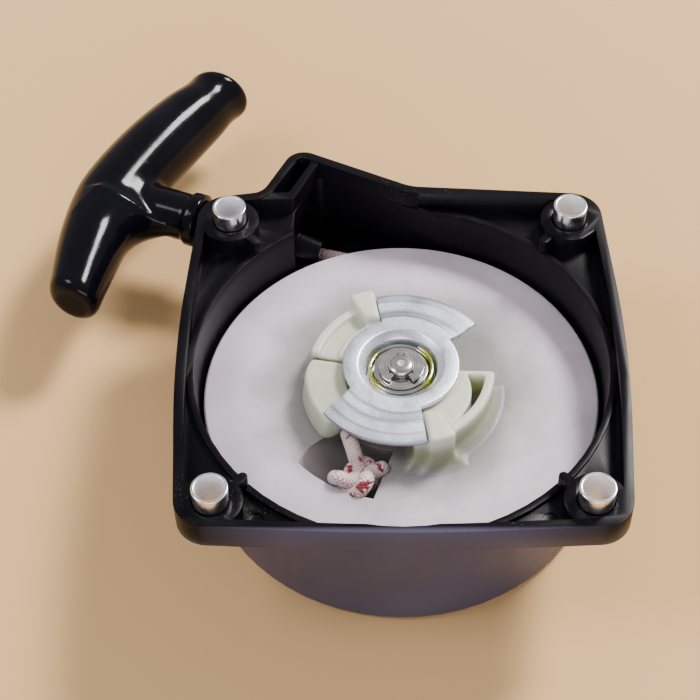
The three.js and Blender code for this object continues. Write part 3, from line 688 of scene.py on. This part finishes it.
def make_centre_post():
    top = CLIP_Z + CLIP_THICK + 0.3 * MM
    centre_mark = 0.7 * MM
    profile = [
        (0, POST_FOOT_Z),
        (POST_R, POST_FOOT_Z),
        (POST_R, POST_SHOULDER_Z),
        (POST_NECK_R, POST_SHOULDER_Z),
        (POST_NECK_R, CLIP_Z - 0.3 * MM),
        (CLIP_GROOVE_R, CLIP_Z - 0.3 * MM),
        (CLIP_GROOVE_R, top),
        (POST_NECK_R, top),
        (POST_NECK_R - 0.2 * MM, PLATE_Z - 0.3 * MM),
        (POST_NECK_R - 0.9 * MM, PLATE_Z),
        (centre_mark, PLATE_Z),
        (0, PLATE_Z - centre_mark),
    ]
    obj = lathe("centre_post_fine", profile, BRIGHT_STEEL, 96)
    bevel(obj, 0.08 * MM, 2)
    shade_by_angle(obj)
    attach(obj, "housing")
    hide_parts("centre_post")


def make_thrust_washer():
    low = POST_SHOULDER_Z + 0.3 * MM
    inner, outer, high = POST_NECK_R + 0.3 * MM, 6.2 * MM, low + 0.6 * MM
    profile = rounded([(inner, low), (outer, low), (outer, high), (inner, high)], 0.15 * MM)
    obj = lathe("thrust_washer_fine", profile, BRIGHT_STEEL, 96)
    shade_by_angle(obj, 50)
    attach(obj, "housing")
    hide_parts("thrust_washer")


def make_e_clip():
    """An open ring, its gap to the front, with three prongs that reach the post's groove."""
    outer, inner, grip = 5.2 * MM, 3.6 * MM, CLIP_GROOVE_R + 0.25 * MM
    start, end = -58, 238
    outline = arc(outer, start, end, 72)
    for middle in (230, 90, -50):
        outline += arc(inner, min(middle + 14, end), middle + 9, 4)
        outline += arc(grip, middle + 8, middle - 8, 8)
        outline += arc(inner, middle - 9, max(middle - 14, start), 4)
    obj = prism("e_clip_fine", outline, CLIP_Z, CLIP_Z + CLIP_THICK, BRIGHT_STEEL)
    bevel(obj, 0.12 * MM, 2)
    shade_by_angle(obj)
    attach(obj, "housing")
    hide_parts("e_clip")


make_centre_post()
make_thrust_washer()
make_e_clip()

# ---------------------------------------------------------------- guide plate and friction spring


def make_guide_plate():
    """A dished ring, and two wings cut from a stepped disc."""
    under = PLATE_Z - PLATE_THICK
    ring_r, dish_in, dish_out = 13.4 * MM, 6.7 * MM, 9.0 * MM
    dish_low = CUPPED_Z + 0.3 * MM
    dish_high = dish_low + 0.8 * MM
    dished = [
        (dish_in, dish_low),
        (dish_out - 0.1 * MM, dish_low),
        (dish_out, dish_low + 1 * MM),
        (dish_out, under - 0.6 * MM),
        (dish_out + 0.8 * MM, under),
        (ring_r, under),
        (ring_r, PLATE_Z),
        (dish_out + 1 * MM, PLATE_Z),
        (dish_out - 0.6 * MM, PLATE_Z - 1.4 * MM),
        (dish_out - 0.9 * MM, dish_high),
        (dish_in, dish_high),
    ]
    plate = lathe("guide_plate_fine", rounded(dished, 0.3 * MM), ZINC, 192)
    steps = in_mm([(12.4, 0), (14.0, 0), (16.3, -0.9), (19.4, -0.9), (21.9, -1.3)])  # radius, drop
    top = [(r, PLATE_Z + drop) for r, drop in steps]
    bottom = [(r, z - PLATE_THICK) for r, z in reversed(top)]
    stepped = lathe("stepped", rounded(top + bottom, 0.25 * MM), ZINC, 192)
    wing = in_mm(rounded([(9.5, 5.3), (20.8, 15.9), (8, 32), (-6.2, 24.5), (-3.9, 10.1)], 0.4))
    one = prism("one_wing", wing, 0, 0.1, ZINC)
    other = prism("other_wing", [(-x, -y) for x, y in wing], 0, 0.1, ZINC)
    boolean(one, other, "UNION")
    boolean(stepped, one, "INTERSECT")
    boolean(plate, stepped, "UNION")
    bevel(plate, 0.12 * MM, 2, 50)
    shade_by_angle(plate, 40)
    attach(plate, "plate")
    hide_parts("guide_plate")


def make_friction_spring():
    turns, radius, low, pitch = 2.6, 7.15 * MM, 30.3 * MM, 1.15 * MM
    wire_r, start, steps = 0.45 * MM, 200, 180
    points = []
    for i in range(steps + 1):
        turn = turns * i / steps
        points.append((*polar(radius, start + 360 * turn), low + pitch * turn))
    obj = tube("friction_spring_fine", points, wire_r, GREASED_WIRE, 12)
    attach(obj, "plate")
    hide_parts("friction_spring")


make_guide_plate()
make_friction_spring()

# ---------------------------------------------------------------- spool

KNOT = Vector((-11, -23.2, 24)) * MM


STOP_BLOCK = in_mm([(5.05, -13.9), (6.3, -22.3), (9.1, -22), (12.2, -20.6), (11.2, -18.3), (8.4, -13.9)])
STOP_BLOCK_R = 24.0 * MM
PAWL_PIVOT = Vector((-18.1, 6.0)) * MM
PAWL_BARREL_R = 1.5 * MM
PAWL_ARM = 0.9 * MM  # half the arm's width
SEAT_ROOF_Z = 30.6 * MM  # a thin skin over the pawl's barrel and arm
WINDOW_RIGHT_EDGE = in_mm([(-6.35, -30.65), (-1.76, -17.61)])
HUB_PATCH_R = 27.5 * MM  # the hub's mesh takes in this much of the disc
SOFT = 0.9 * MM  # rounding of the moulded edges


def empty_pocket(x, y):
    """The crescent between the wall's inner face and a circle that touches it at the narrow end."""
    touch_angle, end_angle, inner_r = -57, -6, 11.95 * MM
    wall_inner_r = HUB_R - HUB_WALL
    cx, cy = polar(wall_inner_r - inner_r, touch_angle)
    radius = np.hypot(x, y)
    inner = smooth_max(inner_r - np.hypot(x - cx, y - cy), POCKET_INNER_R - radius, 0.6 * MM)
    ends = np.maximum(-beyond(x, y, touch_angle), beyond(x, y, end_angle))
    return smooth_max(smooth_max(radius - wall_inner_r, inner, 0.4 * MM), ends, 0.8 * MM)


def pawl_seat(x, y, z):
    """A shallow floor beside the other wall, a hole for the pawl's barrel and a slot for its arm."""
    radius = np.hypot(x, y)
    rim = smooth_max(radius - HUB_R + HUB_WALL, POCKET_INNER_R - radius, SOFT)
    ends = np.maximum(-beyond(x, y, 122), beyond(x, y, 170))
    shallow = smooth_max(smooth_max(rim, ends, SOFT), UNDER_WING_Z - z, SOFT)
    reach = PAWL_ARM + 0.3 * MM
    px, py = PAWL_PIVOT
    hole = np.hypot(x - px, y - py) - PAWL_BARREL_R - 0.3 * MM
    low, wide = py - 3 * MM, reach + 0.7 * MM
    slot = convex(x, y, [(px + reach, py), (px - reach, py), (px - wide, low), (px + reach, low)], 0.1 * MM)
    covered = np.maximum(SPOOL_HUB_Z - z, z - SEAT_ROOF_Z)
    return np.minimum(shallow, np.maximum(np.minimum(hole, slot), covered))


def hub_side(x, y, z, wall_end):
    radius = np.hypot(x, y)
    wall = smooth_max(radius - HUB_R, np.maximum(-beyond(x, y, -70), beyond(x, y, wall_end)), SOFT)
    low_end = smooth_max(radius - HUB_R, np.maximum(-beyond(x, y, -83), beyond(x, y, -60)), SOFT)
    block = smooth_max(convex(x, y, STOP_BLOCK, SOFT), radius - STOP_BLOCK_R, SOFT)
    high = smooth_max(wall, z - HUB_WALL_Z, SOFT)
    low = smooth_max(low_end, z - UNDER_WING_Z, SOFT)
    block = smooth_max(block, z - STOP_BLOCK_Z, SOFT)
    return smooth_min(np.minimum(high, low), block, 2.2 * MM)


def hub_field(x, y, z):
    """The boss, its two sides and the fillet where they stand on the disc."""
    radius = np.hypot(x, y)
    boss = smooth_max(radius - HUB_BOSS_R, z - HUB_WALL_Z, SOFT)
    empty_side = hub_side(x, y, z, -2)
    empty_side = smooth_max(empty_side, -np.maximum(empty_pocket(x, y), SPOOL_HUB_Z - z), 0.5 * MM)
    pawl_side = smooth_max(hub_side(-x, -y, z, -13.5), -pawl_seat(x, y, z), 0.4 * MM)
    solid = smooth_min(smooth_min(empty_side, pawl_side, SOFT), boss, SOFT)
    cone = np.clip((radius - HUB_R - 1.5 * MM) / (SPOOL_R - HUB_R), 0, 1) * 1 * MM
    sunk = 0.15 * MM  # the fillet's foot dips under the disc
    solid = smooth_min(solid, z - SPOOL_HUB_Z + cone + sunk, 4 * MM)
    right = right_of(x, y, *WINDOW_RIGHT_EDGE)
    window = np.maximum(np.maximum(WINDOW_INNER_R - radius, right), -beyond(x, y, WINDOW_LEFT))
    solid = smooth_max(solid, -window, 0.4 * MM)
    recess = np.maximum(radius - CUPPED_R, CUPPED_Z - z)
    solid = smooth_max(solid, -recess, 0.3 * MM)
    solid = np.maximum(solid, SPOOL_BORE_R - radius)
    return np.maximum(solid, np.maximum(radius - HUB_PATCH_R, SPOOL_HUB_Z - 0.8 * MM - z))


def make_spool():
    """The grooved disc with its window, the hub on it and the sleeve round the post."""
    chamfer = 0.4 * MM
    profile = [
        (SPOOL_BORE_R, ARBOR_Z),
        (ARBOR_R, ARBOR_Z),
        (ARBOR_R, LOWER_FLANGE_Z),
        (LOWER_FLANGE_R, LOWER_FLANGE_Z),
        (LOWER_FLANGE_R, GROOVE_FLOOR_Z - chamfer),
        (CORE_R, GROOVE_FLOOR_Z),
        (CORE_R, GROOVE_ROOF_Z),
        (SPOOL_R, GROOVE_ROOF_Z),
        (SPOOL_R, SPOOL_RIM_Z - chamfer),
        (SPOOL_R - chamfer, SPOOL_RIM_Z),
        (HUB_R + 1.5 * MM, SPOOL_HUB_Z),
        (SPOOL_BORE_R, SPOOL_HUB_Z),
    ]
    disc = lathe("spool_fine", profile, WHITE_NYLON, 256)
    floor_z, roof_z = 17 * MM, SPOOL_HUB_Z + 1 * MM
    outline = arc(WINDOW_OUTER_R, WINDOW_LEFT, WINDOW_RIGHT, 24)
    outline += arc(WINDOW_INNER_R, WINDOW_RIGHT + 6, WINDOW_LEFT, 16)
    opening = prism("window", outline, floor_z, roof_z, WHITE_NYLON)
    run = 9 * MM
    ramp = [(0, floor_z), (run, floor_z), (run, roof_z)]
    wedge = prism("ramp", ramp, -33 * MM, -14 * MM, WHITE_NYLON)
    upright = Matrix.Rotation(math.pi / 2, 4, "X")
    wedge.data.transform(Matrix.Rotation(math.radians(RAMP_FOOT - 90), 4, "Z") @ upright)
    boolean(opening, wedge, "DIFFERENCE")
    boolean(disc, opening, "DIFFERENCE")
    bevel(disc, 0.4 * MM, 3, 30)
    shade_by_angle(disc, 35)
    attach(disc, "spool")
    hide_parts("spool")
    reach = HUB_PATCH_R + 0.7 * MM
    low, high = (-reach, -reach, 23.6 * MM), (reach, reach, 36 * MM)
    hub = field_mesh("spool_hub", hub_field, low, high, 0.32 * MM, WHITE_NYLON)
    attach(hub, "spool")
    outer_r, top = 6.2 * MM, POST_SHOULDER_Z - 0.3 * MM
    tube_profile = [(SPOOL_BORE_R, SPOOL_HUB_Z), (outer_r, SPOOL_HUB_Z), (outer_r, top), (SPOOL_BORE_R, top)]
    sleeve = lathe("spool_sleeve", rounded(tube_profile, 0.2 * MM), WHITE_NYLON, 96)
    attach(sleeve, "spool")


make_spool()

# ---------------------------------------------------------------- pawl

PAWL_Z = 25.3 * MM
PAWL_OUTER_R = 22.1 * MM
PAWL_INNER_R = 13 * MM
PAWL_OUTLINE = in_mm(
    [(-12.74, 2.59), (-20.7, 4.0), (-22.0, 1.8), (-27, -12), (-16.68, -14.5), (-8.53, -9.81)]
)


def pawl_field(x, y, z):
    """A curved head that tapers upward, with a low arm and barrel under the hub's skin."""
    radius = np.hypot(x, y)
    draft = (UNDER_WING_Z - z) * 0.15
    head = smooth_max(radius - PAWL_OUTER_R - draft, PAWL_INNER_R - radius, SOFT)
    head = smooth_max(head, convex(x, y, PAWL_OUTLINE, SOFT), SOFT)
    px, py = PAWL_PIVOT
    middle = (py + 2 * MM) / 2
    arm = smooth_max(np.abs(x - px) - PAWL_ARM, np.abs(y - middle) - (py - middle), 0.3 * MM)
    barrel = np.hypot(x - px, y - py) - PAWL_BARREL_R
    hidden = smooth_max(smooth_min(arm, barrel, 0.3 * MM), z - SEAT_ROOF_Z + 0.3 * MM, 0.3 * MM)
    head = smooth_max(head, z - UNDER_WING_Z, SOFT)
    return smooth_max(smooth_min(head, hidden, 0.8 * MM), PAWL_Z - z, 0.3 * MM)


def make_pawl():
    low, high = (-24.5 * MM, -18 * MM, 24.6 * MM), (-7.5 * MM, 8.4 * MM, 32.6 * MM)
    obj = field_mesh("pawl_fine", pawl_field, low, high, 0.25 * MM, PAWL_NYLON)
    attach(obj, "pawl")
    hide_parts("pawl")


make_pawl()

# ---------------------------------------------------------------- rope

COIL_TURNS = 2.551
LANE = 3.8 * MM
LAST_DROP = (ROPE_Z - GUIDE.z) / LANE
STEP_OUT = 0.1
LEAD_IN = 0.042
LEAD_DEPTH = 13.5 * MM
COIL_OUTER_R = 42.8 * MM


def tangent_point():
    reach = math.hypot(GUIDE.x, GUIDE.y)
    turn = math.atan2(GUIDE.y, GUIDE.x) - math.acos(COIL_OUTER_R / reach)
    return Vector((COIL_OUTER_R * math.cos(turn), COIL_OUTER_R * math.sin(turn), GUIDE.z)), turn


TANGENT, TANGENT_ANGLE = tangent_point()


def coil_point(turn):
    """A point on the wound rope, counted in turns from the core's hole: down, up, then along the top."""
    layer_length = 1 + STEP_OUT
    layer = min(max(int(turn // layer_length), 0), 2)
    in_layer = turn - layer * layer_length
    t = min(max((in_layer - 1) / STEP_OUT, 0), 1)
    climb = t * t * (3 - 2 * t) if layer < 2 else 0
    lead = LEAD_DEPTH * (min(turn, 0) / LEAD_IN) ** 2
    radius = CORE_R + 0.45 * MM + ROPE_R + LANE * (layer + climb) - lead
    depth = min(max(in_layer, 0), 1)
    last_share = in_layer / (COIL_TURNS - 2 * layer_length)
    drop = (depth, 1 - depth, LAST_DROP * last_share)[layer]
    angle = TANGENT_ANGLE - 2 * math.pi * (COIL_TURNS - turn)
    return Vector((radius * math.cos(angle), radius * math.sin(angle), ROPE_Z - LANE * drop))


def make_rope():
    steps = 420
    first = -0.022  # in turns, inside the core's wall
    path = [coil_point(first + (COIL_TURNS - first) * i / steps) for i in range(steps + 1)]
    coil = tube("rope_coil_fine", path, ROPE_R, ROPE, 14)
    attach(coil, "spool")
    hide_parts("rope_coil")

    leaving = (GUIDE - TANGENT).normalized()
    route = [TANGENT + leaving * 0.3 * MM, GUIDE, OUTLET, OUTLET + PULL * (GRIP_X - 4 * MM)]
    run = tube("rope_run_fine", smooth_path(route, 24), ROPE_R, ROPE, 14)
    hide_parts("rope_run")
    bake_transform(run)


def overhand_knot(centre, size, lean):
    """A tight overhand knot: an open trefoil whose ends run on as tails."""
    points = []
    steps, opening = 18, 0.03
    for i in range(steps + 1):
        t = 2 * math.pi * (opening + (1 - 2 * opening) * i / steps)
        x = math.sin(t) + 2 * math.sin(2 * t)
        y = math.cos(t) - 2 * math.cos(2 * t)
        z = -1.35 * math.sin(3 * t)
        points.append(centre + lean @ (Vector((x, y, z)) * size))
    return points


def make_spool_knot():
    """The strand from under the wing, the knot and its short end."""
    stretch = Matrix.Diagonal((1.45, 1.15, 1.05)).to_3x3()
    tilt = Matrix.Rotation(math.radians(-12), 3, "X")
    lean = Matrix.Rotation(math.radians(20), 3, "Z") @ tilt @ stretch
    loop = overhand_knot(KNOT + Vector((0.6, -1.6, 0.3)) * MM, 1.12 * MM, lean)
    strand = [Vector(p) * MM for p in ((-12.3, -13.6, 26.4), (-11.7, -16.2, 27.0), (-11.0, -19.0, 27.6))]
    stub = [Vector(p) * MM for p in ((-5.6, -23.4, 25.4), (-4.2, -22.2, 24.6))]
    route = strand + loop + stub
    obj = tube("spool_knot_fine", smooth_path(route, 6), ROPE_R, ROPE, 16)
    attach(obj, "spool")
    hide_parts("spool_knot")


make_rope()
make_spool_knot()

# ---------------------------------------------------------------- handle

GRIP_MIDDLE = 1.9 * MM
# Reach along the grip from its middle, and the grip's radius there, with a waist near the back end.
GRIP_SWELL = in_mm(
    [(-48.5, 8.6), (-43, 8.1), (-35, 9.1), (-20, 9.8), (0, 9.7), (15, 8.8), (28, 7.4), (35, 6.6)]
)
GRIP_END_ROUND = 2.5 * MM
GRIP_BEND = 10.5 * MM  # bend back toward the housing at this reach:
GRIP_BEND_REACH = 50 * MM
NECK_R = 6.2 * MM
NECK_BEAD_R = 7.0 * MM
NECK_BEAD = 3.6 * MM
NECK_END = GRIP_X - 5 * MM
FILLET_BACK = 2.5 * MM
FILLET_FRONT = 11 * MM
POCKET_START = GRIP_X - 5 * MM
POCKET_END = GRIP_X + 5.9 * MM
POCKET_HALF = 4.9 * MM
HANDLE_BORE_R = ROPE_R + 0.5 * MM


def grip_bend(reach):
    return GRIP_X - GRIP_BEND * (np.abs(reach) / GRIP_BEND_REACH) ** 1.55


def handle_field(x, y, z):
    """The grip and the neck run together. Local axes: X out along the pull, Y along the grip."""
    swell = smooth_path([(reach, width, 0) for reach, width in GRIP_SWELL])
    reaches, radii = zip(*[(point.x, point.y) for point in swell])
    reach = y - GRIP_MIDDLE
    middle = (reaches[0] + reaches[-1]) / 2
    side = np.hypot(x - grip_bend(reach), z) - np.interp(reach, reaches, radii)
    ends = np.abs(reach - middle) - (reaches[-1] - middle)
    grip = smooth_max(side, ends, 1.2 * GRIP_END_ROUND)
    radius = np.hypot(y, z)
    neck = np.maximum(radius - NECK_R, x - NECK_END)
    bead = smooth_max(radius - NECK_BEAD_R, np.abs(x - NECK_BEAD / 2) - NECK_BEAD / 2, 0.8 * MM)
    neck = smooth_max(smooth_min(neck, bead, 0.6 * MM), -x, 0.4 * MM)
    corner = FILLET_BACK + (FILLET_FRONT - FILLET_BACK) * np.clip(y / NECK_R, 0, 1) ** 2
    solid = smooth_min(grip, neck, corner)
    bore = np.maximum(radius - HANDLE_BORE_R, x - GRIP_X)
    length = np.abs(x - (POCKET_START + POCKET_END) / 2) - (POCKET_END - POCKET_START) / 2
    pocket = smooth_max(smooth_max(length, np.abs(y) - POCKET_HALF, 1.5 * MM), z - POCKET_HALF, 1 * MM)
    return smooth_max(smooth_max(solid, -bore, 0.5 * MM), -pocket, 0.6 * MM)


def place_on_handle(obj):
    obj.data.transform(Matrix.Translation(HANDLE_START) @ Matrix.Rotation(PULL_ANGLE, 4, "Z"))


def make_handle():
    back, front = GRIP_SWELL[0][0] + GRIP_MIDDLE, GRIP_SWELL[-1][0] + GRIP_MIDDLE
    margin, half = 1.2 * MM, 10.8 * MM
    low, high = (-margin, back - margin, -half), (GRIP_X + half, front + margin, half)
    obj = field_mesh("handle_fine", handle_field, low, high, 0.6 * MM, GLOSS_BLACK)
    place_on_handle(obj)
    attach(obj, "handle")
    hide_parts("handle")


def make_rope_retainer():
    low, thick = POCKET_START + 0.3 * MM, 1.2 * MM
    inner, outer = HANDLE_BORE_R, POCKET_HALF - 0.45 * MM
    profile = [(inner, low), (outer, low), (outer, low + thick), (inner, low + thick)]
    obj = lathe("rope_retainer_fine", rounded(profile, 0.2 * MM), CASE_STEEL, 64)
    obj.data.transform(Matrix.Rotation(math.pi / 2, 4, "Y"))
    place_on_handle(obj)
    shade_by_angle(obj, 50)
    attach(obj, "handle")
    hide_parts("rope_retainer")


def make_handle_knot():
    lean = Matrix.Rotation(math.pi / 2, 3, "Y")
    loop = overhand_knot(Vector((GRIP_X + 1 * MM, 0, 0)), 0.95 * MM, lean)
    obj = tube("handle_knot_fine", smooth_path(loop, 6), ROPE_R - 0.2 * MM, ROPE, 14)
    place_on_handle(obj)
    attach(obj, "handle")
    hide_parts("handle_knot")


make_handle()
make_rope_retainer()
make_handle_knot()

# ---------------------------------------------------------------- floor, light and camera


def make_floor():
    size, gap = 3.0, 0.02 * MM
    corners = [(-size, -size, -gap), (size, -size, -gap), (size, size, -gap), (-size, size, -gap)]
    floor = add_mesh("floor", corners, [(0, 1, 2, 3)], floor_paper())


def area_light(name, place, size, power, colour):
    """A rectangular softbox that faces the spool."""
    light = bpy.data.lights.new(name, "AREA")
    light.shape = "RECTANGLE"
    light.size, light.size_y = size
    light.energy = power
    light.color = colour
    obj = bpy.data.objects.new(name, light)
    obj.location = place
    aim = Vector((0, 0, SPOOL_HUB_Z - 5 * MM))
    obj.rotation_euler = (aim - Vector(place)).to_track_quat("-Z", "Y").to_euler()
    bpy.context.scene.collection.objects.link(obj)


def make_world():
    world = bpy.data.worlds.new("studio")
    world.use_nodes = True
    background = world.node_tree.nodes["Background"]
    background.inputs["Color"].default_value = (1.0, 0.99, 1.0, 1)
    background.inputs["Strength"].default_value = 0.52
    bpy.context.scene.world = world


def make_camera():
    sight = Vector((-11.77, 4.62, 34)) * MM  # a point on the optical axis
    place = Vector((-4.975, -253.347, 349.42)) * MM
    roll = math.radians(-1.34)
    camera = bpy.data.cameras.new("camera")
    camera.lens = 90.52
    camera.sensor_width = 36.0
    obj = bpy.data.objects.new("camera", camera)
    turn = (sight - place).to_track_quat("-Z", "Y").to_matrix() @ Matrix.Rotation(roll, 3, "Z")
    obj.matrix_world = Matrix.Translation(place) @ turn.to_4x4()
    bpy.context.scene.collection.objects.link(obj)
    bpy.context.scene.camera = obj


make_floor()
make_world()
area_light("key", place=(0.76, 0.72, 1.1), size=(0.36, 0.36), power=44, colour=(1, 0.97, 0.96))
area_light("fill", place=(-0.9, -0.1, 1.2), size=(0.5, 0.5), power=11, colour=(0.95, 0.95, 1))
area_light("front", place=(0.1, -1.3, 0.5), size=(1.2, 0.4), power=12, colour=(0.93, 0.92, 1))
make_camera()

bpy.context.view_layer.update()
